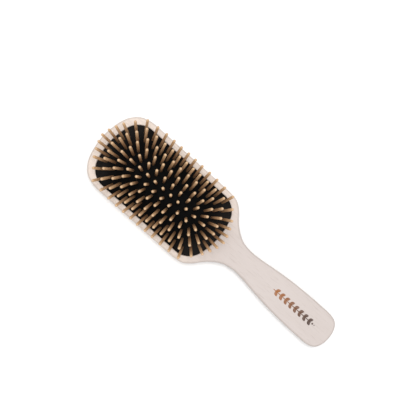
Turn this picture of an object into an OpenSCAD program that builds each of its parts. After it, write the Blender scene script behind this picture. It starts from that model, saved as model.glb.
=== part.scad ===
// Paddle brush: one-piece wooden body, a domed rubber air cushion held in a routed
// pocket, and wooden pins in rows that stand through the cushion.
// +X runs along the handle, +Z is the way the pins point, z = 0 is the flat back.

/* [Wooden body] */
// Thickness of the board the body is cut from
body_thick = 13; // [11:0.5:16]
// Depth of the pocket under the cushion
pocket_deep = 7; // [6:0.5:8]
// Width of the rounding along the top edge of the head
head_round = 1.8; // [1:0.2:3]
// Width of the rounding along the top edge of the handle
handle_round = 1.6; // [1:0.2:3]
// Width of the rounding along the back's edge
back_round = 4; // [2:0.5:6]
// Chamfer at the mouth of the pocket
mouth_chamfer = 0.7; // [0.3:0.1:1]

/* [Cushion] */
// Half the length of the pocket's mouth
pad_half_len = 57.5; // [56:0.5:58]
// Half the width of the pocket's mouth
pad_half_wide = 29.6; // [29:0.2:30]
// Radius of the pocket's curved ends
pad_end_r = 61; // [50:1:80]
// Radius of the pocket's corners
pad_corner_r = 17; // [14:0.5:18]
// Height of the dome above its rim
dome_high = 9; // [7:0.5:10]
// Thickness of the rubber
rubber = 1.2; // [0.8:0.1:1.6]
// Gap between the rubber and the wood
rubber_gap = 0.15; // [0.1:0.05:0.25]

/* [Pins] */
// Length of a pin above the cushion
pin_long = 22; // [18:0.5:25]
// Diameter of a pin
pin_d = 2.3; // [2:0.1:2.6]
// Distance between rows
row_pitch = 4.75; // [4.5:0.05:4.9]
// Diameter of the foot that holds a pin under the rubber
foot_d = 3.8; // [3:0.1:4]
// Radial clearance between a pin and its hole
hole_gap = 0.12; // [0.08:0.02:0.16]

/* [Hidden] */

// Half of the body's outline, from the middle of the head's end to the end of the handle.
outline_points = [
    [-65, 0], [-64.2, 9], [-62.2, 18], [-58.9, 25], [-52.8, 31.2], [-44, 34.2], [-33, 34.6],
    [0, 34.6], [32, 34.6], [43, 34.3], [49.5, 32.8], [55.5, 28.2], [61.5, 21.3], [67.6, 16],
    [75, 11.9], [84.5, 10.3], [95, 10.9], [108, 12.6], [125, 14.4], [145, 15.4], [158, 15.5],
    [166, 15.3], [171.2, 13.9], [174.5, 11], [176.8, 5.5], [177.3, 0]
];
steps_per_span = 3;      // stretches of the outline between two of its points
edge_steps = 5;          // stretches round one rounded edge
neck_x = [48, 92];       // where the head's rounding turns into the handle's
head_edge_high = 2;      // height of the top rounding on the head
handle_edge_high = 1.8;  // height of the top rounding on the handle
back_edge_high = 4.5;    // height of the back's rounding

// Pocket: the groove at its foot takes the bead round the rubber's edge.
pocket_floor = body_thick - pocket_deep;
groove_high = 2.4;
groove_deep = 1.3;
cushion_edge = body_thick - 0.8;        // height of the dome's rim
corner_mid = [
    pad_half_len - pad_end_r
        + sqrt(pow(pad_end_r - pad_corner_r, 2) - pow(pad_half_wide - pad_corner_r, 2)),
    pad_half_wide - pad_corner_r
];
end_mid = pad_half_len - pad_end_r;
turn_angle = atan2(corner_mid[1], corner_mid[0] - end_mid);  // where end and corner meet
end_steps = 4;
corner_steps = 10;
side_steps = 4;
dome_rings = [0.12, 0.25, 0.38, 0.5, 0.61, 0.71, 0.8, 0.88, 0.95, 1];

// Rows of pins, from the middle row outwards: how many pins, half the row's length, how much
// further apart they stand at its ends, and how far its ends draw in to the middle row.
row_counts = [15, 14, 14, 13, 13, 12];
row_halves = [52.7, 51.7, 50.4, 48.6, 45.3, 41.1];
row_spread = [0, 0, 0, 0.06, 0.09, 0.05];
row_bow = [0, 0.03, 0.06, 0.07, 0.03, 0];
middle_row = 6;
foot_high = 0.9;
foot_gap = 0.35;
tip_steps = 5;
pin_sides = 24;

// ---- Curves ----------------------------------------------------------------------------

function smooth(t) = let (c = min(max(t, 0), 1)) c * c * (3 - 2 * c);
function blend(a, b, t) = a + (b - a) * t;

// A point of a smooth curve through p: chord-length Hermite span i at fraction t.
function knot(p, i) =
    i < 0 ? [p[1][0], -p[1][1]] : i >= len(p) ? [p[len(p) - 2][0], -p[len(p) - 2][1]] : p[i];
function heading(p, i) =
    (knot(p, i + 1) - knot(p, i - 1))
        / (norm(knot(p, i + 1) - p[i]) + norm(p[i] - knot(p, i - 1)));
function span_point(p, i, t) =
    let (long = norm(p[i + 1] - p[i]))
    (2 * t * t * t - 3 * t * t + 1) * p[i] + (t * t * t - 2 * t * t + t) * long * heading(p, i)
    + (3 * t * t - 2 * t * t * t) * p[i + 1] + (t * t * t - t * t) * long * heading(p, i + 1);
half_outline = [
    for (i = [0 : len(outline_points) - 2], k = [0 : steps_per_span - 1])
        span_point(outline_points, i, k / steps_per_span)
];
// The whole outline, anticlockwise seen from above.
body_outline = [
    for (i = [0 : len(half_outline) - 1]) [half_outline[i][0], -half_outline[i][1]],
    outline_points[len(outline_points) - 1],
    for (i = [len(half_outline) - 1 : -1 : 1]) half_outline[i]
];
function inward(p, i) =
    let (n = len(p), d = p[(i + 1) % n] - p[(i + n - 1) % n]) [-d[1], d[0]] / norm(d);

// How much of the handle's rounding there is at x: 0 on the head, 1 on the handle.
function handle_share(x) = smooth((x - neck_x[0]) / (neck_x[1] - neck_x[0]));

// Rings of the body: the outline drawn in by share_in of the rounding's width, and a share
// of the rounding's height away from the top, or from the back.
function top_ring(share_in, share_down) = [
    for (i = [0 : len(body_outline) - 1])
        let (
            p = body_outline[i],
            h = handle_share(p[0]),
            q = p + inward(body_outline, i) * share_in * blend(head_round, handle_round, h)
        )
        [q[0], q[1], body_thick - share_down * blend(head_edge_high, handle_edge_high, h)]
];
function back_ring(share_in, share_up) = [
    for (i = [0 : len(body_outline) - 1])
        let (q = body_outline[i] + inward(body_outline, i) * share_in * back_round)
        [q[0], q[1], share_up * back_edge_high]
];

// ---- The pocket's outline, grown by g, and the dome over it ------------------------------

function pad_quarter(g) = [
    for (k = [0 : end_steps - 1])
        let (a = turn_angle * k / end_steps)
        [end_mid + (pad_end_r + g) * cos(a), (pad_end_r + g) * sin(a)],
    for (k = [0 : corner_steps])
        let (a = blend(turn_angle, 90, k / corner_steps))
        corner_mid + (pad_corner_r + g) * [cos(a), sin(a)],
    for (k = [1 : side_steps - 1])
        [corner_mid[0] * (1 - k / side_steps), pad_half_wide + g]
];
function pad_outline(g) =
    let (q = pad_quarter(g), n = len(q))
    concat(
        q,
        [[0, pad_half_wide + g]],
        [for (i = [n - 1 : -1 : 1]) [-q[i][0], q[i][1]]],
        [for (p = q) -p],
        [[0, -pad_half_wide - g]],
        [for (i = [n - 1 : -1 : 1]) [q[i][0], -q[i][1]]]
    );
// Half the length of that outline at y.
function half_length(y, g) =
    let (h = abs(y))
    h < (pad_end_r + g) * sin(turn_angle)
        ? end_mid + sqrt(pow(pad_end_r + g, 2) - h * h)
        : corner_mid[0] + sqrt(max(pow(pad_corner_r + g, 2) - pow(h - corner_mid[1], 2), 0));
// Height of the dome above its rim: an arch across, and a flatter arch along.
function dome(x, y, g, high) =
    let (across = y / (pad_half_wide + g), along = x / half_length(y, g))
    high * max(1 - pow(across, 2), 0) * max(1 - pow(along, 4), 0);
function dome_ring(share, g, high) = [
    for (p = pad_outline(g))
        [p[0] * share, p[1] * share, cushion_edge + dome(p[0] * share, p[1] * share, g, high)]
];
function flat_ring(g, z) = [for (p = pad_outline(g)) [p[0], p[1], z]];

// ---- Pins ------------------------------------------------------------------------------

outside = -rubber_gap;                  // the rubber's outer face, against the pocket's wall
function row_places(row) =
    let (k = abs(row - middle_row), n = row_counts[k])
    [
        for (i = [0 : n - 1])
            let (w = 2 * i / (n - 1) - 1)
            [
                row_halves[k] * (w + row_spread[k] * (pow(w, 3) - w)),
                row_pitch * (row - middle_row) * (1 - row_bow[k] * pow(w, 4))
            ]
    ];
// The dome's slope along and across, which is the way that a pin leans.
function slope(x, y) =
    let (e = 0.01)
    [
        (dome(x + e, y, outside, dome_high) - dome(x - e, y, outside, dome_high)) / (2 * e),
        (dome(x, y + e, outside, dome_high) - dome(x, y - e, outside, dome_high)) / (2 * e)
    ];

// Stands its children on the dome at p, square to the rubber.
module on_dome(p) {
    s = slope(p[0], p[1]);
    translate([p[0], p[1], cushion_edge + dome(p[0], p[1], outside, dome_high)])
        rotate([0, atan(norm(s)), atan2(-s[1], -s[0])])
            children();
}

// Caps for a skin, clockwise seen from outside. A flat cap is one face over a ring, a fan
// runs to a point of its own, and a ladder has a rung between each point and its mirror
// image on the ring's other side.
function flat_cap(n, from) = [[for (i = [0 : n - 1]) from + i]];
function first_fan(n, tip) = [for (i = [0 : n - 1]) [tip, i, (i + 1) % n]];
function last_fan(n, from, tip) = [for (i = [0 : n - 1]) [tip, from + (i + 1) % n, from + i]];
function last_ladder(n, from) = [
    [from + n - 1, from + 1, from],
    for (i = [1 : n / 2 - 2]) [from + n - i, from + n - i - 1, from + i + 1, from + i],
    [from + n / 2 + 1, from + n / 2, from + n / 2 - 1]
];

// One closed skin through a stack of rings, with its caps and their extra points.
module skin(rings, caps, tips = []) {
    n = len(rings[0]);
    side = [
        for (r = [0 : len(rings) - 2], i = [0 : n - 1])
            let (j = (i + 1) % n, a = r * n, b = a + n)
            each [[a + i, b + i, b + j], [a + i, b + j, a + j]]
    ];
    polyhedron(points = concat([for (r = rings) each r], tips), faces = concat(side, caps));
}

// ---- Sub-parts ---------------------------------------------------------------------------

module wood_body() {
    turns = [for (k = [0 : edge_steps]) 90 * k / edge_steps];
    rings = concat(
        [for (k = [edge_steps : -1 : 0]) back_ring(1 - cos(turns[k]), 1 - sin(turns[k]))],
        [for (k = [0 : edge_steps]) top_ring(1 - cos(turns[k]), 1 - sin(turns[k]))]
    );
    n = len(body_outline);
    color("#dfd6cf")
        difference() {
            skin(rings, concat(flat_cap(n, 0), last_ladder(n, (len(rings) - 1) * n)));
            pocket();
        }
}

// The routed pocket: floor, groove for the bead, wall and chamfered mouth.
module pocket() {
    rings = [
        flat_ring(groove_deep, pocket_floor),
        flat_ring(groove_deep, pocket_floor + groove_high),
        flat_ring(0, pocket_floor + groove_high),
        flat_ring(0, body_thick - mouth_chamfer),
        flat_ring(2 * mouth_chamfer, body_thick + mouth_chamfer)
    ];
    n = len(rings[0]);
    top = (len(rings) - 1) * n;
    tips = [[0, 0, body_thick + mouth_chamfer]];
    skin(rings, concat(flat_cap(n, 0), last_fan(n, top, top + n)), tips);
}

// The moulded rubber: dome, skirt, and the bead that the groove holds.
module cushion() {
    bead_out = groove_deep - rubber_gap;
    bead_low = pocket_floor + rubber_gap;
    bead_top = pocket_floor + groove_high - rubber_gap;
    inside = outside - rubber;
    count = len(dome_rings) - 1;
    rings = concat(
        [for (k = [0 : count]) dome_ring(dome_rings[k], outside, dome_high)],
        [
            flat_ring(outside, bead_top),
            flat_ring(bead_out, bead_top),
            flat_ring(bead_out, bead_low),
            flat_ring(inside, bead_low)
        ],
        [for (k = [count : -1 : 0]) dome_ring(dome_rings[k], inside, dome_high - rubber)]
    );
    n = len(rings[0]);
    all = len(rings) * n;
    tips = [[0, 0, cushion_edge + dome_high], [0, 0, cushion_edge + dome_high - rubber]];
    color("#17171a")
        difference() {
            skin(rings, concat(first_fan(n, all), last_fan(n, all - n, all + 1)), tips);
            for (row = [1 : 2 * middle_row - 1], p = row_places(row))
                on_dome(p)
                    translate([0, 0, -3 * rubber])
                        cylinder(h = 5 * rubber, d = pin_d + 2 * hole_gap, $fn = pin_sides);
        }
}

// One pin about its own axis: foot under the rubber, shank and round tip.
module pin() {
    r = pin_d / 2;
    foot_top = -rubber - foot_gap;
    rotate_extrude($fn = pin_sides)
        polygon(concat(
            [
                [0, foot_top - foot_high],
                [foot_d / 2, foot_top - foot_high],
                [foot_d / 2, foot_top],
                [r, foot_top]
            ],
            [
                for (k = [0 : tip_steps])
                    let (a = 90 * k / tip_steps)
                    [r * cos(a), pin_long - r + r * sin(a)]
            ]
        ));
}

module pin_row(row) {
    color("#c89e6c")
        for (p = row_places(row))
            on_dome(p)
                pin();
}

wood_body();
cushion();
pin_row(1);  // pin_row_01
pin_row(2);  // pin_row_02
pin_row(3);  // pin_row_03
pin_row(4);  // pin_row_04
pin_row(5);  // pin_row_05
pin_row(6);  // pin_row_06
pin_row(7);  // pin_row_07
pin_row(8);  // pin_row_08
pin_row(9);  // pin_row_09
pin_row(10);  // pin_row_10
pin_row(11);  // pin_row_11
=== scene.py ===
"""A wooden paddle brush: the body with its routed pocket, the rubber air cushion held in
it, and the rows of turned wooden pins that stand through the cushion.

Lengths in the classes below are in millimetres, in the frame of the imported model: +X runs
along the handle, +Z is the way the pins point, and z = 0 is the flat back.
"""

import logging
import math
from dataclasses import dataclass, field
from enum import Enum

import bmesh
import bpy
import numpy as np
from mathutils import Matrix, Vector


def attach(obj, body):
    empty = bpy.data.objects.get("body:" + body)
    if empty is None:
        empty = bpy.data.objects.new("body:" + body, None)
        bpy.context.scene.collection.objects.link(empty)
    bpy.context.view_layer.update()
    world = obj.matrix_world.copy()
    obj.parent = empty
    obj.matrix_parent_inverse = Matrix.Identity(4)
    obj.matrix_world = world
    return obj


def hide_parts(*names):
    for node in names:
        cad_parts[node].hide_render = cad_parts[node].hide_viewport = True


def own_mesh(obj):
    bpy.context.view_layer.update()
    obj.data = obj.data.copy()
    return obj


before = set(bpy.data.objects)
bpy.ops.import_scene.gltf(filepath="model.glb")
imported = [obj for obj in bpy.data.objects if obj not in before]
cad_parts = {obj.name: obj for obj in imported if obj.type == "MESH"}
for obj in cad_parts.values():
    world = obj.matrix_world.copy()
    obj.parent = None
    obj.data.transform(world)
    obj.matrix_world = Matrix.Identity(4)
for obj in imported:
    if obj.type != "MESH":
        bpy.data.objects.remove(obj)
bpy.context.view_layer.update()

MM = 0.001
LOG = logging.getLogger("paddle_brush")
Array, Pair = np.ndarray, tuple[float, float]
Piece, Material = bpy.types.Object, bpy.types.Material
Tree, Node, Output = bpy.types.NodeTree, bpy.types.Node, bpy.types.NodeSocket


# ---- Shapes as arrays ----


def smooth(t: Array) -> Array:
    """Return the soft step 3t^2 - 2t^3, with t held between 0 and 1."""
    t = np.clip(t, 0.0, 1.0)
    return t * t * (3.0 - 2.0 * t)


def unit(v: Array) -> Array:
    """Return vectors, one a row, scaled to length 1."""
    return v / np.linalg.norm(v, axis=1)[:, None]


def walk(path: Array) -> Array:
    """Return the distance along a path from its start to each of its points."""
    return np.concatenate([[0.0], np.cumsum(np.linalg.norm(np.diff(path, axis=0), axis=1))])


def bump(d: Array, wide: float) -> Array:
    """Return the bell exp(-(d / wide)^2)."""
    return np.exp(-np.square(d / wide))


@dataclass
class Patch:
    """A grid of points with its faces and one number per point."""

    points: Array  # n x 3
    quads: Array  # four indices for each face, anticlockwise seen from outside
    edge: Array  # how close each point is to a worn edge, from 0 to 1


def grid_quads(rows: int, cols: int, closed: bool) -> Array:
    """Return the faces of a grid of rows x cols points.

    Face (r, c) goes from (r, c) to (r + 1, c), (r + 1, c + 1) and (r, c + 1), so rings that
    run anticlockwise, from the middle outwards, face up.

    Args:
        rows: How many rows of points.
        cols: How many points in a row.
        closed: Whether the last column joins the first.

    Returns:
        One row of four indices for each face.
    """
    last = cols if closed else cols - 1
    r, c = np.meshgrid(np.arange(rows - 1), np.arange(last), indexing="ij")
    n = (c + 1) % cols
    quads = np.stack([r * cols + c, (r + 1) * cols + c, (r + 1) * cols + n, r * cols + n], -1)
    return quads.reshape(-1, 4)


def loft(rings: list[Array], edge: list[float]) -> Patch:
    """Join closed rings into a skin.

    Args:
        rings: One array of points for each ring, all n x 3.
        edge: The worn-edge value of each ring.

    Returns:
        The patch, facing up where the rings grow and out where they go down.
    """
    points = np.stack(rings)
    rows, cols, _ = points.shape
    return Patch(points.reshape(-1, 3), grid_quads(rows, cols, True), np.repeat(edge, cols))


def ladder(x: Array, half: Array, across: Array, z: float, up: bool) -> Patch:
    """Fill a flat shape with rungs: point (r, c) is at (x_r, across_c * half_r, z).

    Args:
        x: Place of each rung.
        half: Half the width of the shape at each rung.
        across: Shares of that half width, from -1 to 1.
        z: Height of the shape.
        up: Whether it faces up.

    Returns:
        The patch, with the worn-edge value falling off from the shape's sides.
    """
    wide = half[:, None] * across[None, :]
    points = np.stack([np.broadcast_to(x[:, None], wide.shape), wide, np.full(wide.shape, z)], -1)
    quads = grid_quads(len(x), len(across), False)
    edge = 0.5 * bump(half[:, None] - np.abs(wide), 0.5)
    return Patch(points.reshape(-1, 3), quads if up else quads[:, ::-1], edge.ravel())


def put(name: str, data: bpy.types.ID) -> Piece:
    """Put a new object into the scene and return it."""
    thing = bpy.data.objects.new(name, data)
    bpy.context.scene.collection.objects.link(thing)
    return thing


def build_mesh(name: str, patches: list[Patch], sharp: float) -> Piece:
    """Put patches into one mesh object, with the points that meet merged.

    Args:
        name: The piece's name.
        patches: What it is made of, in millimetres.
        sharp: Angle in degrees above which its edges are shaded sharp.

    Returns:
        The new object, at the origin, with a point attribute "edge".
    """
    starts = np.cumsum([0] + [len(p.points) for p in patches[:-1]])
    points = np.concatenate([p.points for p in patches]) * MM
    quads = np.concatenate([p.quads + s for p, s in zip(patches, starts)])
    mesh = bpy.data.meshes.new(name)
    mesh.from_pydata(points.tolist(), [], quads.tolist())
    mark = mesh.attributes.new("edge", "FLOAT", "POINT")
    mark.data.foreach_set("value", np.concatenate([p.edge for p in patches]).astype(np.float32))
    work = bmesh.new()
    work.from_mesh(mesh)
    bmesh.ops.remove_doubles(work, verts=work.verts, dist=0.002 * MM)
    work.to_mesh(mesh)
    work.free()
    mesh.validate()
    mesh.shade_smooth()
    mesh.set_sharp_from_angle(angle=math.radians(sharp))
    return put(name, mesh)


def point_array(piece: Piece) -> Array:
    """Return a piece's points in millimetres, one row each."""
    flat = np.empty((len(piece.data.vertices), 3), np.float32)
    piece.data.vertices.foreach_get("co", flat.ravel())
    return flat.astype(float) / MM


def set_points(piece: Piece, points: Array) -> None:
    """Write points in millimetres back to a piece."""
    piece.data.vertices.foreach_set("co", (points * MM).astype(np.float32).ravel())
    piece.data.update()


def set_mark(piece: Piece, name: str, values: Array) -> None:
    """Store one number per point under a name."""
    layer = piece.data.attributes.new(name, "FLOAT", "POINT")
    layer.data.foreach_set("value", values.astype(np.float32))


# ---- Node groups ----

WANDER_FINENESS = 0.35  # of the noise that bends the grain, as a share of the grain's own
WANDER_REACH = 0.004  # how far it bends it, in the grain's coordinates
PORE_FINENESS = 5.0  # as a multiple of the bands' fineness
PATCH_FINENESS = 0.03  # of the dust's patches, as a share of its specks'
SPARSE = (0.56, 0.72)  # the part of a noise's range that leaves only its peaks
RAGGEDNESS = 0.7  # how far a noise moves the border of a worn edge


class Socket(Enum):
    """Kinds of socket that the node groups have."""

    NUMBER = "NodeSocketFloat"
    VECTOR = "NodeSocketVector"


@dataclass(frozen=True)
class Graph:
    """A node tree that is being wired up."""

    tree: Tree

    def add(self, kind: str, settings: dict | None = None, **inputs: object) -> Node:
        """Make a node, set it and feed its inputs.

        Args:
            kind: Blender's name for the node.
            settings: Properties to set on it.
            **inputs: What goes into its inputs, as feed() takes it.

        Returns:
            The node.
        """
        node = self.tree.nodes.new(kind)
        for key, value in (settings or {}).items():
            setattr(node, key, value)
        self.feed(node, **inputs)
        return node

    def feed(self, node: Node, **inputs: object) -> None:
        """Set a node's inputs to plain values or link them to output sockets.

        Args:
            node: The node.
            **inputs: The value or socket for each input, which is given by its name with _
                for a space or by its number after an i.
        """
        for key, value in inputs.items():
            numbered = key[0] == "i" and key[1:].isdigit()
            place = node.inputs[int(key[1:]) if numbered else key.replace("_", " ")]
            if isinstance(value, Output):
                self.tree.links.new(value, place)
            else:
                place.default_value = value

    def group(self, tree: Tree, **inputs: object) -> bpy.types.NodeOutputs:
        """Use a node group and return its outputs."""
        return self.add("ShaderNodeGroup", {"node_tree": tree}, **inputs).outputs

    def mark(self, name: str) -> Output:
        """Return the number that the mesh stores for each point under a name."""
        return self.add("ShaderNodeAttribute", {"attribute_name": name}).outputs["Fac"]

    def math(self, operation: str, a: object, b: object = 0.0, c: object = 0.0) -> Output:
        """Return the output of a Math node on up to three numbers."""
        return self.add("ShaderNodeMath", {"operation": operation}, i0=a, i1=b, i2=c).outputs[0]

    def times(self, a: object, b: object, plus: object = 0.0) -> Output:
        """Return a * b + plus."""
        return self.math("MULTIPLY_ADD", a, b, plus)

    def total(self, start: object, masks: tuple, shares: tuple) -> Output:
        """Return start plus each mask times its share."""
        for mask, share in zip(masks, shares):
            start = self.times(mask, share, start)
        return start

    def ramp(
        self, value: object, low: float, high: float, first: float = 0.0, last: float = 1.0
    ) -> Output:
        """Return value carried smoothly from low..high to first..last."""
        kind = {"interpolation_type": "SMOOTHSTEP"}
        span = {"From_Min": low, "From_Max": high, "To_Min": first, "To_Max": last}
        return self.add("ShaderNodeMapRange", kind, Value=value, **span).outputs[0]

    def mix(self, share: object, a: object, b: object) -> Output:
        """Return the color between a and b at share."""
        return self.add("ShaderNodeMix", {"data_type": "RGBA"}, i0=share, i6=a, i7=b).outputs[2]

    def cover(self, color: object, *coats: tuple) -> Output:
        """Return a color under coats (mask, share, color), laid on one after another."""
        for mask, share, coat in coats:
            color = self.mix(self.times(mask, share), color, coat)
        return color

    def noise(self, vector: object, scale: object, detail: float, rough: float) -> Output:
        """Return the value of a noise texture."""
        look = {"Scale": scale, "Detail": detail, "Roughness": rough}
        return self.add("ShaderNodeTexNoise", Vector=vector, **look).outputs[0]


def new_group(name: str, takes: dict[str, Socket], gives: tuple[str, ...]) -> tuple:
    """Start a shader node group.

    Args:
        name: The group's name.
        takes: Its inputs by name.
        gives: The names of its outputs, all of them numbers.

    Returns:
        The graph, the input node and the output node.
    """
    tree = bpy.data.node_groups.new(name, "ShaderNodeTree")
    for label, kind in takes.items():
        tree.interface.new_socket(name=label, in_out="INPUT", socket_type=kind.value)
    for label in gives:
        kind = Socket.NUMBER.value
        tree.interface.new_socket(name=label, in_out="OUTPUT", socket_type=kind)
    graph = Graph(tree)
    return graph, graph.add("NodeGroupInput"), graph.add("NodeGroupOutput")


def grain_group() -> Tree:
    """Build lengthwise wood grain, for the body and for the pins.

    Vector's first axis runs along the grain and is shortened by Stretch. Two noises on the
    result give broad bands and thin pores.

    Returns:
        The group, with outputs Bands and Pores.
    """
    takes = {"Vector": Socket.VECTOR, "Fineness": Socket.NUMBER, "Stretch": Socket.NUMBER}
    graph, given, result = new_group("lengthwise_grain", takes, ("Bands", "Pores"))
    vector, fine, stretch = (given.outputs[label] for label in takes)
    x, y, z = graph.add("ShaderNodeSeparateXYZ", i0=vector).outputs
    along = graph.math("DIVIDE", x, stretch)
    place = graph.add("ShaderNodeCombineXYZ", i0=along, i1=y, i2=z).outputs[0]
    wander = graph.noise(place, graph.times(fine, WANDER_FINENESS), 2.0, 0.5)
    drift = graph.times(wander, WANDER_REACH)
    bent = graph.add("ShaderNodeVectorMath", {"operation": "ADD"}, i0=place, i1=drift).outputs[0]
    bands = graph.noise(bent, fine, 3.0, 0.55)
    pores = graph.noise(bent, graph.times(fine, PORE_FINENESS), 2.0, 0.6)
    graph.feed(result, Bands=graph.ramp(bands, 0.3, 0.7), Pores=graph.ramp(pores, *SPARSE))
    return graph.tree


def speckle_group() -> Tree:
    """Build fine dust: sparse specks that a slow noise gathers into patches.

    Returns:
        The group, with the output Mask, from 0 to 1.
    """
    takes = {"Vector": Socket.VECTOR, "Scale": Socket.NUMBER, "Amount": Socket.NUMBER}
    graph, given, result = new_group("fine_dust", takes, ("Mask",))
    vector, scale, amount = (given.outputs[label] for label in takes)
    specks = graph.noise(vector, scale, 3.0, 0.7)
    slow = graph.noise(vector, graph.times(scale, PATCH_FINENESS), 2.0, 0.5)
    patchy = graph.ramp(slow, 0.35, 0.65, 0.3, 1.0)
    both = graph.times(graph.ramp(specks, *SPARSE), patchy)
    graph.feed(result, Mask=graph.times(both, amount))
    return graph.tree


def wear_group() -> Tree:
    """Build edge wear: the worn-edge value of the mesh, broken up by a noise.

    Returns:
        The group, with the output Mask, from 0 to 1.
    """
    takes = {"Edge": Socket.NUMBER, "Vector": Socket.VECTOR, "Scale": Socket.NUMBER}
    graph, given, result = new_group("edge_wear", takes, ("Mask",))
    edge, vector, scale = (given.outputs[label] for label in takes)
    ragged = graph.math("SUBTRACT", graph.noise(vector, scale, 3.0, 0.6), 0.5)
    total = graph.times(ragged, RAGGEDNESS, edge)
    graph.feed(result, Mask=graph.ramp(total, 0.45, 0.95))
    return graph.tree


@dataclass(frozen=True)
class Effects:
    """The node groups that more than one finish uses."""

    grain: Tree
    dust: Tree
    wear: Tree


# ---- Finishes ----


def new_finish(name: str) -> tuple[Material, Graph, Node]:
    """Start a material and return it with its graph and its Principled BSDF."""
    material = bpy.data.materials.new(name)
    material.use_nodes = True
    return material, Graph(material.node_tree), material.node_tree.nodes["Principled BSDF"]


@dataclass(frozen=True)
class Finish:
    """What all the finishes have: some dust, worn edges and a fine relief."""

    name: str
    dust: Pair  # fineness of the specks, and how much of them there is, from 0 to 1
    wear_fine: float  # fineness of the noise that breaks up the worn edges
    relief: Pair  # strength, and depth in metres
    roughness: float  # before the masks change it
    rough_by: tuple  # what each mask adds to it, in the order that paint() names them
    gloss: float  # level of the mirror-like reflection

    def aged(self, graph: Graph, effects: Effects, place: object) -> tuple:
        """Return the masks of the dust and of the worn edges at a place."""
        fine, amount = self.dust
        edge = graph.mark("edge")
        dust = graph.group(effects.dust, Vector=place, Scale=fine, Amount=amount)
        wear = graph.group(effects.wear, Vector=place, Scale=self.wear_fine, Edge=edge)
        return dust[0], wear[0]

    def paint(self, graph: Graph, effects: Effects) -> tuple:
        """Return the sockets with the color, the roughness and the relief's height."""
        raise NotImplementedError

    def build(self, effects: Effects) -> Material:
        """Make the material.

        Args:
            effects: The shared node groups.

        Returns:
            The material.
        """
        material, graph, shader = new_finish(self.name)
        color, rough, height = self.paint(graph, effects)
        strength, deep = self.relief
        tilt = graph.add("ShaderNodeBump", Strength=strength, Distance=deep, Height=height)
        look = {"Base_Color": color, "Roughness": rough, "Specular_IOR_Level": self.gloss}
        graph.feed(shader, Normal=tilt.outputs[0], **look)
        return material


@dataclass(frozen=True)
class WhitewashedWood(Finish):
    """Pale wood under a thin white wash, with an ornament burnt into it."""

    name: str = "whitewashed_wood"
    wash: tuple = (0.590, 0.526, 0.498, 1.0)
    # painted light: a lighter, warmer wood colour on the head, offsetting the shade of the pins
    head_wash_painted_light: tuple = (0.800, 0.695, 0.615, 1.0)
    band: tuple = (0.545, 0.478, 0.444, 1.0)
    pore: tuple = (0.39, 0.325, 0.29, 1.0)
    worn: tuple = (0.43, 0.365, 0.325, 1.0)
    burn_light: tuple = (0.330, 0.118, 0.030, 1.0)
    burn_dark: tuple = (0.040, 0.013, 0.004, 1.0)
    roughness: float = 0.62
    rough_by: tuple = (0.12, -0.14, 0.15)
    gloss: float = 0.22
    grain: Pair = (260.0, 14.0)
    dust: Pair = (2600.0, 0.35)
    wear_fine: float = 420.0
    # where along X the head's painted light fades out
    head_end: Pair = (0.034, 0.072)
    band_share: float = 0.25
    pore_share: float = 0.32
    worn_share: float = 0.4
    mottle: float = 0.12
    high_by: Pair = (0.35, -1.0)
    relief: Pair = (0.28, 0.00008)

    def paint(self, graph: Graph, effects: Effects) -> tuple:
        """Return the sockets with the color, the roughness and the relief's height.

        The head is painted lighter and warmer, a painted light that offsets the shade its pins cast
        on the rim, and this fades out over head_end, in metres along X. The ornament darkens with
        the mesh's "char" wherever its "burn" is more than 0.

        Args:
            graph: The material's nodes.
            effects: The shared node groups.

        Returns:
            The three sockets.
        """
        place = graph.add("ShaderNodeTexCoord").outputs["Object"]
        fine, stretch = self.grain
        bands, pores = graph.group(effects.grain, Vector=place, Fineness=fine, Stretch=stretch)
        dust, wear = self.aged(graph, effects, place)
        burn, char = graph.mark("burn"), graph.mark("char")
        x = graph.add("ShaderNodeSeparateXYZ", i0=place).outputs[0]
        # the base colour blends into the head's painted light over head_end
        color = graph.cover(
            graph.mix(graph.ramp(x, *self.head_end, 1.0, 0.0), self.wash, self.head_wash_painted_light),
            (bands, self.band_share, self.band),
            (pores, self.pore_share, self.pore),
            (dust, self.worn_share, self.worn),
            (wear, self.worn_share, self.worn),
        )
        scorch = graph.mix(char, self.burn_light, self.burn_dark)
        mottled = graph.times(burn, graph.times(bands, -self.mottle, 1.0))
        rough = graph.total(self.roughness, (pores, wear, burn), self.rough_by)
        height = graph.total(0.0, (bands, pores), self.high_by)
        return graph.mix(mottled, color, scorch), rough, height


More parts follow.
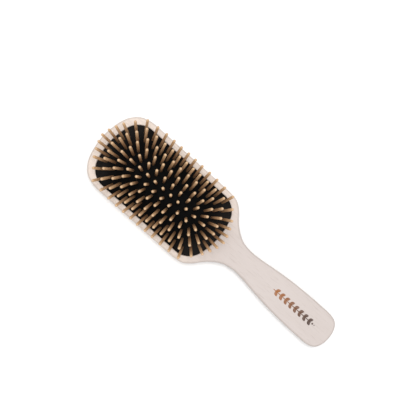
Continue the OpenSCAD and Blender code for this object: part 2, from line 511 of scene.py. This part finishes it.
@dataclass(frozen=True)
class MouldedRubber(Finish):
    """Matte black rubber: fine mould grain, a little dust, and a painted sheen low and at its ends.
    """

    name: str = "moulded_rubber"
    base: tuple = (0.0014, 0.0013, 0.0014, 1.0)
    # lighter colour for dust, for edge wear and for the painted sheen
    dust_and_sheen: tuple = (0.040, 0.036, 0.033, 1.0)
    roughness: float = 0.54
    rough_by: tuple = (0.16, 0.3)
    gloss: float = 0.05
    # base level of the painted sheen, which the dust adds to
    sheen_and_dust: float = 0.26
    dust_share: float = 0.5
    wear_share: float = 0.18
    mould_fine: float = 3800.0
    dust: Pair = (1500.0, 0.45)
    wear_fine: float = 500.0
    # low and ends ramp the painted sheen by height and by distance along X
    low: tuple = (0.0135, 0.0195, 1.0, 0.08)
    ends: tuple = (0.030, 0.048, 0.1, 1.0)
    relief: Pair = (0.25, 0.00006)

    def paint(self, graph: Graph, effects: Effects) -> tuple:
        """Return the sockets with the color, the roughness and the relief's height.

        A painted sheen, broken up by dust, lies low on the dome, by height in metres, and towards
        its two ends, by distance in metres along X from its middle. It stands in for the reflection
        that the dome's steeper slopes show.

        Args:
            graph: The material's nodes.
            effects: The shared node groups.

        Returns:
            The three sockets.
        """
        place = graph.add("ShaderNodeTexCoord").outputs["Object"]
        dust, wear = self.aged(graph, effects, place)
        x, _, z = graph.add("ShaderNodeSeparateXYZ", i0=place).outputs
        ends = graph.ramp(graph.math("ABSOLUTE", x), *self.ends)
        sheen_and_dust = graph.times(dust, self.dust_share, self.sheen_and_dust)
        # painted sheen and dust, kept low on the dome and towards its ends
        low_sheen_and_dust = graph.times(sheen_and_dust, graph.times(graph.ramp(z, *self.low), ends))
        amount = graph.times(wear, self.wear_share, low_sheen_and_dust)
        grain = graph.noise(place, self.mould_fine, 4.0, 0.65)
        rough = graph.total(self.roughness, (grain, amount), self.rough_by)
        return graph.mix(amount, self.base, self.dust_and_sheen), rough, grain


@dataclass(frozen=True)
class TurnedPinWood(Finish):
    """Oiled, tumbled tan wood: painted shade at the foot, and a round tip with burnish and painted
    highlight.
    """

    name: str = "turned_pin_wood"
    light: tuple = (0.47, 0.292, 0.158, 1.0)
    dark: tuple = (0.25, 0.130, 0.060, 1.0)
    # dark colour for the pores and for the painted shade at the foot
    foot: tuple = (0.10, 0.052, 0.026, 1.0)
    # light colour for the tip's burnish and painted highlight, and for dust
    tip: tuple = (0.68, 0.455, 0.262, 1.0)
    roughness: float = 0.42
    rough_by: tuple = (-0.16, 0.15)
    gloss: float = 0.5
    grain: Pair = (5.0, 3.0)
    dust: Pair = (60.0, 0.5)
    wear_fine: float = 6.0
    tone_apart: float = 7.0
    tone_share: float = 0.45
    band_share: float = 0.5
    pore_share: float = 0.4
    foot_shade_share: float = 0.75
    foot_shade_end: float = 0.55
    tip_highlight_share: float = 0.75
    dust_share: float = 0.2
    relief: Pair = (0.2, 0.00005)

    def paint(self, graph: Graph, effects: Effects) -> tuple:
        """Return the sockets with the color, the roughness and the relief's height.

        The UV map "pin" gives the share of the way round a pin and along it, and the mesh's
        "tone" sets each pin apart.

        Args:
            graph: The material's nodes.
            effects: The shared node groups.

        Returns:
            The three sockets.
        """
        spot = graph.add("ShaderNodeUVMap", {"uv_map": "pin"}).outputs[0]
        tone = graph.mark("tone")
        round_pin, along, _ = graph.add("ShaderNodeSeparateXYZ", i0=spot).outputs
        own = graph.times(tone, self.tone_apart)
        place = graph.add("ShaderNodeCombineXYZ", i0=along, i1=round_pin, i2=own).outputs[0]
        fine, stretch = self.grain
        bands, pores = graph.group(effects.grain, Vector=place, Fineness=fine, Stretch=stretch)
        dust, wear = self.aged(graph, effects, place)
        share = graph.total(0.0, (tone, bands), (self.tone_share, self.band_share))
        color = graph.cover(
            graph.mix(share, self.light, self.dark),
            (pores, self.pore_share, self.foot),
            # painted shade: darkens each pin towards its foot
            (graph.ramp(along, 0.0, self.foot_shade_end, 1.0, 0.0), self.foot_shade_share, self.foot),
            # partly burnish, partly painted highlight on the round tip
            (wear, self.tip_highlight_share, self.tip),
            (dust, self.dust_share, self.tip),
        )
        return color, graph.total(self.roughness, (wear, pores), self.rough_by), bands


# ---- The pocket's outline and the dome over it ----


@dataclass(frozen=True)
class PadShape:
    """The outline of the pocket, made of flat end arcs, corner arcs and straight sides, and
    the dome that the rubber makes over it."""

    half_long: float = 57.5
    half_wide: float = 29.6
    end_radius: float = 61.0
    corner_radius: float = 17.0
    floor: float = 6.0
    groove_high: float = 2.4
    groove_deep: float = 1.3
    dome_high: float = 9.0
    rim: float = 12.2
    rubber_gap: float = 0.15

    @property
    def end_middle(self) -> float:
        """Place on X of the middle of the far end's arc."""
        return self.half_long - self.end_radius

    @property
    def corner_middle(self) -> Pair:
        """Place of the middle of a corner's arc, where it touches both end and side."""
        y = self.half_wide - self.corner_radius
        x = self.end_middle + math.sqrt((self.end_radius - self.corner_radius) ** 2 - y * y)
        return x, y

    @property
    def turn(self) -> float:
        """Angle in radians at which the end's arc gives way to the corner's."""
        x, y = self.corner_middle
        return math.atan2(y, x - self.end_middle)

    def outline(self, grow: float = 0.0, fine: int = 240) -> Array:
        """Return the outline, grown by a distance, as dense points anticlockwise.

        A quarter is an arc about (end_middle, 0) up to the turn, one about the corner's
        middle up to 90 degrees, and a straight run to X = 0. The others mirror it.

        Args:
            grow: Distance outwards.
            fine: Points on each of a quarter's three stretches.

        Returns:
            The points, n x 2.
        """
        cx, cy = self.corner_middle
        a = np.linspace(0.0, self.turn, fine, endpoint=False)
        b = np.linspace(self.turn, math.pi / 2, fine, endpoint=False)
        reach, tight = self.end_radius + grow, self.corner_radius + grow
        end = np.stack([self.end_middle + reach * np.cos(a), reach * np.sin(a)], -1)
        corner = np.stack([cx + tight * np.cos(b), cy + tight * np.sin(b)], -1)
        high = self.half_wide + grow
        side = np.stack([np.linspace(cx, 0.0, fine, endpoint=False), np.full(fine, high)], -1)
        quarter = np.concatenate([end, corner, side])
        half = np.concatenate([quarter, [[0.0, high]], (quarter * [-1.0, 1.0])[::-1]])
        return np.concatenate([half, -half[1:-1]])

    def at_angles(self, angles: Array, grow: float = 0.0) -> Array:
        """Return the outline's points in given directions.

        Args:
            angles: Directions from the origin, in radians.
            grow: Distance outwards.

        Returns:
            The points, n x 2.
        """
        dense = self.outline(grow)
        found = np.arctan2(dense[:, 1], dense[:, 0])
        reach = np.interp(angles, found, np.hypot(dense[:, 0], dense[:, 1]), period=2 * math.pi)
        return np.stack([reach * np.cos(angles), reach * np.sin(angles)], -1)

    def ring(self, angles: Array, grow: float, z: float) -> Array:
        """Return the outline's points in given directions, at a height."""
        return np.column_stack([self.at_angles(angles, grow), np.full(len(angles), z)])

    def half_length(self, y: Array, grow: float) -> Array:
        """Return half the outline's length at y, on the end's arc or on the corner's."""
        cx, cy = self.corner_middle
        h = np.abs(y)
        reach, tight = self.end_radius + grow, self.corner_radius + grow
        end = self.end_middle + np.sqrt(np.maximum(reach**2 - h * h, 0.0))
        corner = cx + np.sqrt(np.maximum(tight**2 - np.square(h - cy), 0.0))
        return np.where(h < reach * math.sin(self.turn), end, corner)

    def height(self, x: Array, y: Array, grow: float = -0.15, high: float = 9.0) -> Array:
        """Return the dome's height above its rim.

        It is high * (1 - across^2) * (1 - along^4), with across and along the shares of the
        half width and of the half length at y.

        Args:
            x: Places along.
            y: Places across.
            grow: How far the dome's outline is grown from the pocket's.
            high: Height of the crown.

        Returns:
            The heights.
        """
        across = y / (self.half_wide + grow)
        along = x / np.maximum(self.half_length(y, grow), 1e-6)
        return high * np.maximum(1 - across**2, 0.0) * np.maximum(1 - along**4, 0.0)


# ---- The ornament ----


@dataclass(frozen=True)
class BurntSprig:
    """A generic sprig burnt into the handle: a thin stem with paired leaves and dots."""

    start: float = 117.5
    end: float = 161.5
    leaf_pitch: float = 5.0
    leaf_long: float = 4.4
    leaf_wide: float = 1.25
    vein_wide: float = 0.16
    vein_share: float = 0.55
    stem_wide: float = 0.32
    dots: Pair = (0.75, 0.45)
    dots_back: Pair = (2.2, 0.3)
    lean: float = 38.0
    soft: float = 0.16
    fade: float = 0.5

    def leaves(self) -> tuple[Array, Array]:
        """Return the middle and the direction of every leaf.

        Leaves stand in pairs, one each side of the stem, all leaning the same way along.

        Returns:
            Middles (n x 2) and unit directions (2 x n).
        """
        roots = np.repeat(np.arange(self.start + 2.0, self.end - 4.0, self.leaf_pitch), 2)
        side = np.resize([-1.0, 1.0], len(roots))
        turn = math.radians(self.lean)
        way = np.stack([np.full(len(roots), math.cos(turn)), side * math.sin(turn)])
        stalk = self.leaf_long / 2 + 0.35
        return np.column_stack([roots, 0 * roots]) + way.T * stalk, way

    def mask(self, x: Array, y: Array) -> Array:
        """Return how deeply each place is burnt, from 0 to 1.

        A leaf reaches leaf_wide * (1 - (2 s / leaf_long)^2) off its axis at a distance s
        along it from the middle, and is burnt less along a vein on the axis. The stem is a
        strip, and a dot is a disc. The greatest of their masks counts.

        Args:
            x: Places along the handle.
            y: Places across it.

        Returns:
            The masks.
        """
        middles, (wx, wy) = self.leaves()
        dx, dy = x[:, None] - middles[:, 0], y[:, None] - middles[:, 1]
        off = np.abs(dy * wx - dx * wy)
        room = self.leaf_wide * (1 - np.square(2 * (dx * wx + dy * wy) / self.leaf_long)) - off
        vein = self.vein_share + (1 - self.vein_share) * smooth(off / self.vein_wide)
        leaf = (smooth(room / self.soft + 0.5) * vein).max(1)
        inside = smooth((x - self.start) / self.fade) * smooth((self.end - 3.5 - x) / self.fade)
        stem = smooth((self.stem_wide - np.abs(y)) / self.soft + 0.5) * inside
        off = np.hypot(x[:, None] - self.end + self.dots_back, y[:, None])
        dot = smooth((self.dots - off) / self.soft + 0.5).max(1)
        return np.maximum(np.maximum(leaf, stem), dot)


# ---- The body ----


@dataclass
class WoodBody:
    """The one-piece body: paddle head with its pocket, neck and flat handle."""

    pad: PadShape
    thick: float = 13.0
    lip: float = 0.7
    head_edge: Pair = (1.8, 2.0)
    handle_edge: Pair = (1.6, 1.8)
    back_edge: Pair = (4.0, 4.5)
    neck: Pair = (48.0, 92.0)
    split: float = 64.0
    edge_steps: int = 8
    coarse: float = 1.1
    fine: float = 0.24
    burn_deep: float = 0.12
    sprig: BurntSprig = field(default_factory=BurntSprig)
    knots: tuple = (
        (-65, 0), (-64.2, 9), (-62.2, 18), (-58.9, 25), (-52.8, 31.2), (-44, 34.2),
        (-33, 34.6), (0, 34.6), (32, 34.6), (43, 34.3), (49.5, 32.8), (55.5, 28.2),
        (61.5, 21.3), (67.6, 16), (75, 11.9), (84.5, 10.3), (95, 10.9), (108, 12.6),
        (125, 14.4), (145, 15.4), (158, 15.5), (166, 15.3), (171.2, 13.9), (174.5, 11),
        (176.8, 5.5), (177.3, 0),
    )

    def half_outline(self) -> Array:
        """Return half the outline, from the head's end to the handle's.

        A Hermite span joins each two knots, with headings from the chords to the knots on
        either side. The curve is then cut finely along the ornament, coarsely elsewhere.

        Returns:
            The points, n x 2, the first and last on the X axis.
        """
        p = np.asarray(self.knots, float)
        around = np.vstack([p[1] * [1, -1], p, p[-2] * [1, -1]])
        chord = np.linalg.norm(np.diff(around, axis=0), axis=1)
        heading = (around[2:] - around[:-2]) / (chord[1:] + chord[:-1])[:, None]
        t = np.linspace(0, 1, 80, endpoint=False)[None, :, None]
        a, b, long = p[:-1, None], p[1:, None], chord[1:-1, None, None]
        ha, hb = heading[:-1, None] * long, heading[1:, None] * long
        spans = (2 * t**3 - 3 * t**2 + 1) * a + (t**3 - 2 * t**2 + t) * ha
        spans = spans + (3 * t**2 - 2 * t**3) * b + (t**3 - t**2) * hb
        curve = np.concatenate([spans.reshape(-1, 2), p[-1:]])
        walked = walk(curve)
        x = curve[:, 0]
        near = smooth((x - self.sprig.start + 4) / 4) * smooth((self.sprig.end + 4 - x) / 4)
        density = 1.0 / (self.coarse + (self.fine - self.coarse) * near)
        cuts = np.diff(walked) * (density[1:] + density[:-1]) / 2
        count = np.concatenate([[0.0], np.cumsum(cuts)])
        ticks = np.linspace(0.0, count[-1], int(round(count[-1])) + 1)
        where = np.interp(ticks, count, walked)
        out = np.stack([np.interp(where, walked, curve[:, i]) for i in (0, 1)], -1)
        out[0], out[-1] = p[0], p[-1]
        return out

    def edge_ring(self, ring: Array, inward: Array, angle: float, top: bool) -> Array:
        """Return one ring of a rounded edge.

        From 0, on the side, to 90 degrees, on the face, it comes in by wide * (1 - cos) and
        lacks high * (1 - sin) to the face. Along the neck, the top's wide and high go softly
        from the head's to the handle's.

        Args:
            ring: The outline, n x 2.
            inward: Unit vectors into the shape.
            angle: The angle in radians.
            top: Whether it is the top's edge, and not the back's.

        Returns:
            The ring, n x 3.
        """
        first, last = (self.head_edge, self.handle_edge) if top else (self.back_edge,) * 2
        share = smooth((ring[:, :1] - self.neck[0]) / (self.neck[1] - self.neck[0]))
        wide, high = (first + np.subtract(last, first) * share).T
        flat = ring + inward * (wide * (1 - math.cos(angle)))[:, None]
        lack = high * (1 - math.sin(angle))
        return np.column_stack([flat, self.thick - lack if top else lack])

    def rings(self) -> tuple[list[Array], list[float]]:
        """Return the rings from the top face to the back, and how worn each is."""
        half = self.half_outline()
        ring = np.concatenate([half * [1, -1], half[-2:0:-1]])
        tangent = unit(np.roll(ring, -1, axis=0) - np.roll(ring, 1, axis=0))
        inward = np.stack([-tangent[:, 1], tangent[:, 0]], -1)
        angles = np.linspace(math.pi / 2, 0, self.edge_steps + 1)
        top = [self.edge_ring(ring, inward, a, True) for a in angles]
        back = [self.edge_ring(ring, inward, a, False) for a in angles[::-1]]
        between = [top[-1] + (back[0] - top[-1]) * s for s in (0.12, 0.5, 0.88)]
        swell = 0.5 * np.sin(2 * angles)
        wear = [*(swell + 0.5), 0.45, 0.1, 0.3, *(swell + 0.2)]
        return top + between + back, wear

    def top_loop(self, face: Array, across: Array) -> tuple[Array, int]:
        """Return the loop round the head's top face, closed by a rung across the neck.

        Args:
            face: The ring round the whole top face, n x 3.
            across: Shares of the half width at which rungs have points.

        Returns:
            The loop, n x 2, and the rung's number.
        """
        count = len(face) // 2
        rung = int(np.argmin(np.abs(face[: count + 1, 0] - self.split)))
        inner = across[1:-1]
        cut = np.column_stack([np.full(len(inner), face[rung, 0]), inner * -face[rung, 1]])
        return np.concatenate([face[: rung + 1, :2], cut, face[len(face) - rung :, :2]]), rung

    def pocket(self, loop: Array) -> Patch:
        """Return the head's top face and the pocket, from the middle of its floor outwards.

        Each ring is the pocket's outline, grown and lifted along the profile floor, groove,
        wall and rounded lip. Beyond the lip, the rings go straight to the loop.

        Args:
            loop: The loop round the top face.

        Returns:
            The patch.
        """
        angles = np.arctan2(loop[:, 1], loop[:, 0])
        floor, deep = self.pad.floor, self.pad.groove_deep
        groove_top = floor + self.pad.groove_high
        turns = np.linspace(0, math.pi / 2, 5)
        profile = [[deep, floor], [deep, groove_top], [0.0, groove_top]]
        profile += [[0.0, self.thick - self.lip - 2.0]]
        lip = np.stack([1 - np.cos(turns), np.sin(turns) - 1], -1) * self.lip
        rings = [self.pad.ring(angles, g, z) for g, z in [*profile, *(lip + [0, self.thick])]]
        bottom = [rings[0] * [s, s, 1] for s in (0.0, 0.25, 0.5, 0.75, 0.98)]
        lip = rings[-1]
        edge = np.column_stack([loop, np.full(len(loop), self.thick)])
        face = [lip + (edge - lip) * s for s in (0.08, 0.3, 0.55, 0.8, 0.93, 1.0)]
        round_lip = [0.1, 0.3, 0.4, 0.4, 0.3, 0.2]
        wear = [0.0] * (len(bottom) + 3) + round_lip + [0.1, 0.0, 0.0, 0.0, 0.2, 0.5]
        return loft(bottom + rings + face, wear)

    def columns(self) -> Array:
        """Return the rungs' shares: close together along the ornament, wider outside it."""
        inner = np.linspace(-0.37, 0.37, 45)
        outer = np.array([0.45, 0.56, 0.68, 0.8, 0.9, 0.96, 1.0])
        return np.concatenate([-outer[::-1], inner, outer])

    def build(self, finish: Material) -> Piece:
        """Make the body, burn the ornament into it and put it on its CAD body.

        Args:
            finish: The wood's material.

        Returns:
            The piece.
        """
        rings, wear = self.rings()
        face, back = rings[0], rings[-1]
        count = len(face) // 2
        across = self.columns()
        loop, rung = self.top_loop(face, across)
        x, half = (face[rung : count + 1, :2] * [1, -1]).T
        handle = ladder(x, half, across, self.thick, True)
        x, half = (back[: count + 1, :2] * [1, -1]).T
        under = ladder(x, half, np.linspace(-1, 1, 15), 0.0, False)
        patches = [self.pocket(loop), handle, loft(rings, wear), under]
        piece = build_mesh("brush_body", patches, sharp=38.0)
        points = point_array(piece)
        burnt = self.sprig.mask(points[:, 0], points[:, 1]) * (points[:, 2] > self.thick - 0.01)
        char = smooth((points[:, 0] - self.sprig.start) / (self.sprig.end - self.sprig.start) * 1.1)
        points[:, 2] -= self.burn_deep * burnt
        set_points(piece, points)
        set_mark(piece, "burn", burnt)
        set_mark(piece, "char", char)
        piece.data.materials.append(finish)
        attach(piece, "wood")
        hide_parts("wood_body")
        return piece


# ---- The pins ----


def off_axes(points: Array, feet: Array, way: Array) -> tuple[Array, Array]:
    """Return how far along each pin's axis each point is, and its offset from the axis."""
    along = np.einsum("pnk,nk->pn", points[:, None] - feet, way)
    return along, points[:, None] - feet - along[..., None] * way


@dataclass
class PinField:
    """The turned pins: how many stand in each row, and where and how they stand."""

    pad: PadShape
    counts: tuple = (15, 14, 14, 13, 13, 12)
    halves: tuple = (52.7, 51.7, 50.4, 48.6, 45.3, 41.1)
    spread: tuple = (0.0, 0.0, 0.0, 0.06, 0.09, 0.05)
    bow: tuple = (0.0, 0.03, 0.06, 0.07, 0.03, 0.0)
    pitch: float = 4.75
    middle: int = 6
    radius: float = 1.15
    long: float = 22.0
    foot_radius: float = 1.9
    foot: Pair = (-2.45, -1.55)
    sides: int = 10
    lean: float = 0.010
    short: float = 0.35
    # where the tip's burnish and painted highlight begin, and over what length they grow
    burnish_and_highlight: Pair = (4.0, 3.6)
    seed: int = 11

    @property
    def rows(self) -> list[int]:
        """Numbers of the rows, from one side to the other."""
        return list(range(1, 2 * self.middle))

    def places(self, row: int) -> Array:
        """Return the pins' places in a row, n x 2.

        With w evenly spaced from -1 to 1, x is half * (w + spread * (w^3 - w)), and y is the
        row's distance from the middle row * (1 - bow * w^4).
        """
        k = abs(row - self.middle)
        w = np.linspace(-1, 1, self.counts[k])
        x = self.halves[k] * (w + self.spread[k] * (w**3 - w))
        return np.column_stack([x, (row - self.middle) * self.pitch * (1 - self.bow[k] * w**4)])

    def stance(self, at: Array) -> tuple[Array, Array]:
        """Return where pins leave the rubber and the way they point.

        The way is the dome's normal, (-dz/dx, -dz/dy, 1) scaled to length 1, with the
        slopes taken over a small step.

        Args:
            at: Places of the pins, n x 2.

        Returns:
            Feet (n x 3) and unit directions (n x 3).
        """
        x, y, e = at[:, 0], at[:, 1], 0.01
        dx = (self.pad.height(x + e, y) - self.pad.height(x - e, y)) / (2 * e)
        dy = (self.pad.height(x, y + e) - self.pad.height(x, y - e)) / (2 * e)
        way = unit(np.stack([-dx, -dy, np.ones_like(dx)], -1))
        return np.column_stack([at, self.pad.rim + self.pad.height(x, y)]), way

    def profile(self) -> Array:
        """Return a pin's radius and height at each ring, from under its foot to its tip."""
        r, turns = self.radius, np.radians([0.0, 38.0, 68.0, 90.0])
        low, high = self.foot
        foot = [[0.0, low], [self.foot_radius, low], [self.foot_radius, high], [r, high]]
        tip = np.column_stack([r * np.cos(turns), self.long - r + r * np.sin(turns)])
        return np.concatenate([foot, tip])

    def build_row(self, row: int, finish: Material) -> Piece:
        """Make one row of pins and put it on its CAD body.

        A point is foot + height * way + radius * (cos * side + sin * front), with side and
        front square to the way. Each pin leans and falls short a little in its own way.

        Args:
            row: The row's number.
            finish: The pins' material.

        Returns:
            The piece.
        """
        draw = np.random.default_rng(self.seed + row)
        feet, way = self.stance(self.places(row))
        count = len(feet)
        way = unit(way + draw.uniform(-self.lean, self.lean, (count, 3)) * [1, 1, 0])
        side = unit(np.cross(way, [0.0, 1.0, 0.0]))
        front = np.cross(way, side)
        profile = self.profile()
        rise = np.repeat(profile[None, :, 1], count, 0)
        rise[:, 4:] -= draw.uniform(0.0, self.short, (count, 1))
        turn = 2 * math.pi * np.arange(self.sides) / self.sides
        cos, sin = np.cos(turn)[:, None], np.sin(turn)[:, None]
        around = cos * side[:, None] + sin * front[:, None]
        points = feet[:, None, None] + rise[:, :, None, None] * way[:, None, None]
        points = points + profile[None, :, 0, None, None] * around[:, None]
        quads = grid_quads(len(profile), self.sides, True)[:, ::-1]
        # worn marks the tip for its burnish and painted highlight
        start, span = self.burnish_and_highlight
        worn = np.repeat(smooth((profile[:, 1] - self.long + start) / span), self.sides)
        patches = [Patch(pin, quads, worn) for pin in points.reshape(count, -1, 3)]
        piece = build_mesh(f"turned_pins_{row:02d}", patches, sharp=50.0)
        self.mark(piece, feet, way, draw.uniform(0.0, 1.0, count))
        piece.data.materials.append(finish)
        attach(piece, f"row_{row:02d}")
        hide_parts(f"pin_row_{row:02d}")
        return piece

    def mark(self, piece: Piece, feet: Array, way: Array, tones: Array) -> None:
        """Give points their pin's tone, and corners their place round and along the pin.

        A point is on the pin whose axis is nearest.

        Args:
            piece: The row of pins.
            feet: Where its pins leave the rubber.
            way: The way they point.
            tones: One tone for each pin.
        """
        points = point_array(piece)
        along, off = off_axes(points, feet, way)
        owner = np.linalg.norm(off, axis=2).argmin(1)
        own = off[np.arange(len(points)), owner]
        set_mark(piece, "tone", tones[owner])
        u = np.arctan2(own[:, 1], own[:, 0]) / (2 * math.pi) + 0.5
        v = along[np.arange(len(points)), owner] / self.long
        corner = np.empty(len(piece.data.loops), np.int32)
        piece.data.loops.foreach_get("vertex_index", corner)
        layer = piece.data.uv_layers.new(name="pin")
        layer.data.foreach_set("uv", np.column_stack([u, v])[corner].astype(np.float32).ravel())


# ---- The cushion ----


@dataclass
class AirCushion:
    """The moulded membrane: a dome with a small collar round every pin, a rim that rolls
    down into the pocket, and a bead in the pocket's groove."""

    pad: PadShape
    pins: PinField
    around: int = 620
    out: int = 84
    rubber: float = 1.2
    roll: float = 0.9
    collar_high: float = 0.42
    collar_wide: float = 0.95
    pinch: float = 0.25
    pinch_wide: float = 2.6
    reach: float = 5.0
    hem_high: float = 1.6
    hem_wide: float = 3.0
    held: float = 6.2
    travel: float = 3.0

    def relief(self, points: Array) -> Array:
        """Return how far the rubber stands above the plain dome.

        At d off a pin's axis, it is a collar, collar_high * bell((d - radius) / collar_wide),
        less a wide shallow pinch where the foot pulls it down.

        Args:
            points: Points on the dome, n x 3.

        Returns:
            The heights.
        """
        total = np.zeros(len(points))
        for row in self.pins.rows:
            feet, way = self.pins.stance(self.pins.places(row))
            near = np.abs(points[:, 1] - feet[0, 1]) < self.reach
            off = np.linalg.norm(off_axes(points[near], feet, way)[1], axis=2)
            clear = np.maximum(off - self.pins.radius, 0.0)
            collar = self.collar_high * bump(clear, self.collar_wide)
            total[near] += (collar - self.pinch * bump(off, self.pinch_wide)).sum(1)
        return total

    def build(self, finish: Material) -> Piece:
        """The outer skin is the pocket's outline, scaled from 0 to 1, lifted by the dome and the
        collars, and rolled over in a quarter circle at its rim. The bead is a profile, and
        the inner skin is the plain dome, lower by the rubber's thickness.

        Args:
            finish: The rubber's material.

        Returns:
            The piece.
        """
        gap = self.pad.rubber_gap
        dense = self.pad.outline(-gap)
        loop = np.concatenate([dense, dense[:1]])
        long = walk(loop)
        ticks = np.linspace(0, long[-1], self.around, endpoint=False)
        spot = np.stack([np.interp(ticks, long, loop[:, i]) for i in (0, 1)], -1)
        angles = np.arctan2(spot[:, 1], spot[:, 0])
        shares = np.concatenate([np.linspace(0, 0.97, self.out), [0.978, 0.986, 0.992, 0.997, 1.0]])
        flat = shares[:, None, None] * spot[None]
        inset = (1 - shares)[:, None] * np.linalg.norm(spot, axis=1)[None]
        short = np.clip(self.roll - inset, 0, self.roll)
        drop = self.roll - np.sqrt(self.roll**2 - short**2)
        lift = self.pad.height(flat[..., 0], flat[..., 1])
        skin = np.concatenate([flat, (self.pad.rim + lift)[..., None]], -1)
        relief = self.relief(skin.reshape(-1, 3)).reshape(lift.shape)
        skin[..., 2] += relief * smooth(inset / self.hem_wide) - drop
        top, low = self.pad.floor + self.pad.groove_high - gap, self.pad.floor + gap
        bead = self.pad.groove_deep - gap
        inner = -gap - self.rubber
        profile = [(-gap, top + self.hem_high), (-gap, top), (bead, top), (bead, low), (inner, low)]
        hem = [self.pad.ring(angles, g, z) for g, z in profile]
        inside = np.array([1.0, 0.94, 0.85, 0.7, 0.5, 0.25, 0.0])[:, None, None]
        inside = inside * self.pad.at_angles(angles, inner)
        high = self.pad.dome_high - self.rubber
        lift = self.pad.rim + self.pad.height(inside[..., 0], inside[..., 1], inner, high)
        lining = np.concatenate([inside, lift[..., None]], -1)
        wear = [*(0.7 * bump((1 - shares) * 30, 1.4)), *([0.0] * (len(hem) + len(lining)))]
        patch = loft([*skin, *hem, *lining], wear)
        piece = build_mesh("air_cushion_membrane", [patch], sharp=40.0)
        piece.data.materials.append(finish)
        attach(piece, "wood")
        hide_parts("cushion")
        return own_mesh(piece)


# ---- Floor, light and camera ----


@dataclass(frozen=True)
class Lamp:
    """A square area light: where it stands, where it points, its size and its power."""

    name: str
    at: tuple[float, float, float]
    size: float
    power: float
    aim: tuple[float, float, float] = (0.055, 0.0, 0.0)

    def place(self) -> None:
        """Put the light into the scene, turned to its aim."""
        data = bpy.data.lights.new(self.name, "AREA")
        data.shape, data.size, data.energy = "SQUARE", self.size, self.power
        lamp = put(self.name, data)
        lamp.location = self.at
        way = np.subtract(self.at, self.aim)
        lamp.rotation_euler = Vector(way).to_track_quat("Z", "Y").to_euler()


@dataclass(frozen=True)
class Studio:
    """A pale floor, soft light from beyond the head, and a camera above the brush."""

    eye: tuple[float, float, float] = (25.9, -12.07, 492.23)  # in millimetres
    turn: float = 41.9  # of the picture about the way the camera looks, in degrees
    tip: Pair = (0.05249, 0.01992)  # about the brush's X and Y, in radians
    lens: float = 52.154  # focal length for a sensor 36 mm wide
    sky: float = 0.66
    floor: tuple = (0.93, 0.93, 0.93, 1.0)
    floor_rough: float = 0.9
    lamps: tuple = (
        Lamp("key", (-0.04, 0.08, 0.86), 0.36, 4.4),
        Lamp("fill", (0.55, -0.30, 0.90), 0.9, 1.2),
    )

    def camera(self) -> None:
        """Make the camera, tipped about the brush's Y, then X, and turned in its own plane."""
        angles = [*self.tip, math.radians(self.turn)]
        (cx, cy, c), (sx, sy, s) = np.cos(angles), np.sin(angles)
        about_x = np.array([[1, 0, 0], [0, cx, sx], [0, -sx, cx]])
        about_y = np.array([[cy, 0, sy], [0, 1, 0], [-sy, 0, cy]])
        picture = np.array([[c, s, 0], [-s, c, 0], [0, 0, 1]])
        place = np.eye(4)
        place[:3, :3] = (picture @ about_x @ about_y).T
        place[:3, 3] = np.array(self.eye) * MM
        data = bpy.data.cameras.new("camera")
        data.lens, data.sensor_width, data.clip_start = self.lens, 36.0, 0.01
        camera = put("camera", data)
        camera.matrix_world = Matrix(place.tolist())
        bpy.context.scene.camera = camera

    def ground(self) -> None:
        """Lay the floor just under the back, as a grid whose corners are far away."""
        x, y = np.meshgrid(np.linspace(-3, 3, 5), np.linspace(-3, 3, 5))
        points = np.stack([x.ravel(), y.ravel(), np.full(x.size, -0.0001)], -1)
        mesh = bpy.data.meshes.new("floor")
        mesh.from_pydata(points.tolist(), [], grid_quads(5, 5, False)[:, ::-1].tolist())
        floor = put("floor", mesh)
        material, graph, shader = new_finish("floor")
        graph.feed(shader, Base_Color=self.floor, Roughness=self.floor_rough)
        mesh.materials.append(material)

    def build(self) -> None:
        """Set up the floor, the sky, the lamps and the camera."""
        self.ground()
        world = bpy.data.worlds.new("sky")
        world.use_nodes = True
        back = world.node_tree.nodes["Background"]
        Graph(world.node_tree).feed(back, Color=(1.0, 1.0, 1.0, 1.0), Strength=self.sky)
        bpy.context.scene.world = world
        for lamp in self.lamps:
            lamp.place()
        self.camera()
        bpy.context.scene.view_settings.view_transform = "Standard"


# ---- The brush ----


def report(piece: Piece) -> None:
    """Log a piece's name, faces and size."""
    size = " x ".join(f"{side / MM:.1f}" for side in piece.dimensions)
    LOG.info("%s: %d faces, %s mm", piece.name, len(piece.data.polygons), size)


def main() -> None:
    """Build the brush piece by piece, then the studio round it."""
    logging.basicConfig(level=logging.INFO, format="%(name)s: %(message)s")
    effects = Effects(grain_group(), speckle_group(), wear_group())
    pad = PadShape()
    pins = PinField(pad)
    report(WoodBody(pad).build(WhitewashedWood().build(effects)))
    report(AirCushion(pad, pins).build(MouldedRubber().build(effects)))
    pin_wood = TurnedPinWood().build(effects)
    for row in pins.rows:
        report(pins.build_row(row, pin_wood))
    Studio().build()


if __name__ == "__main__":
    main()
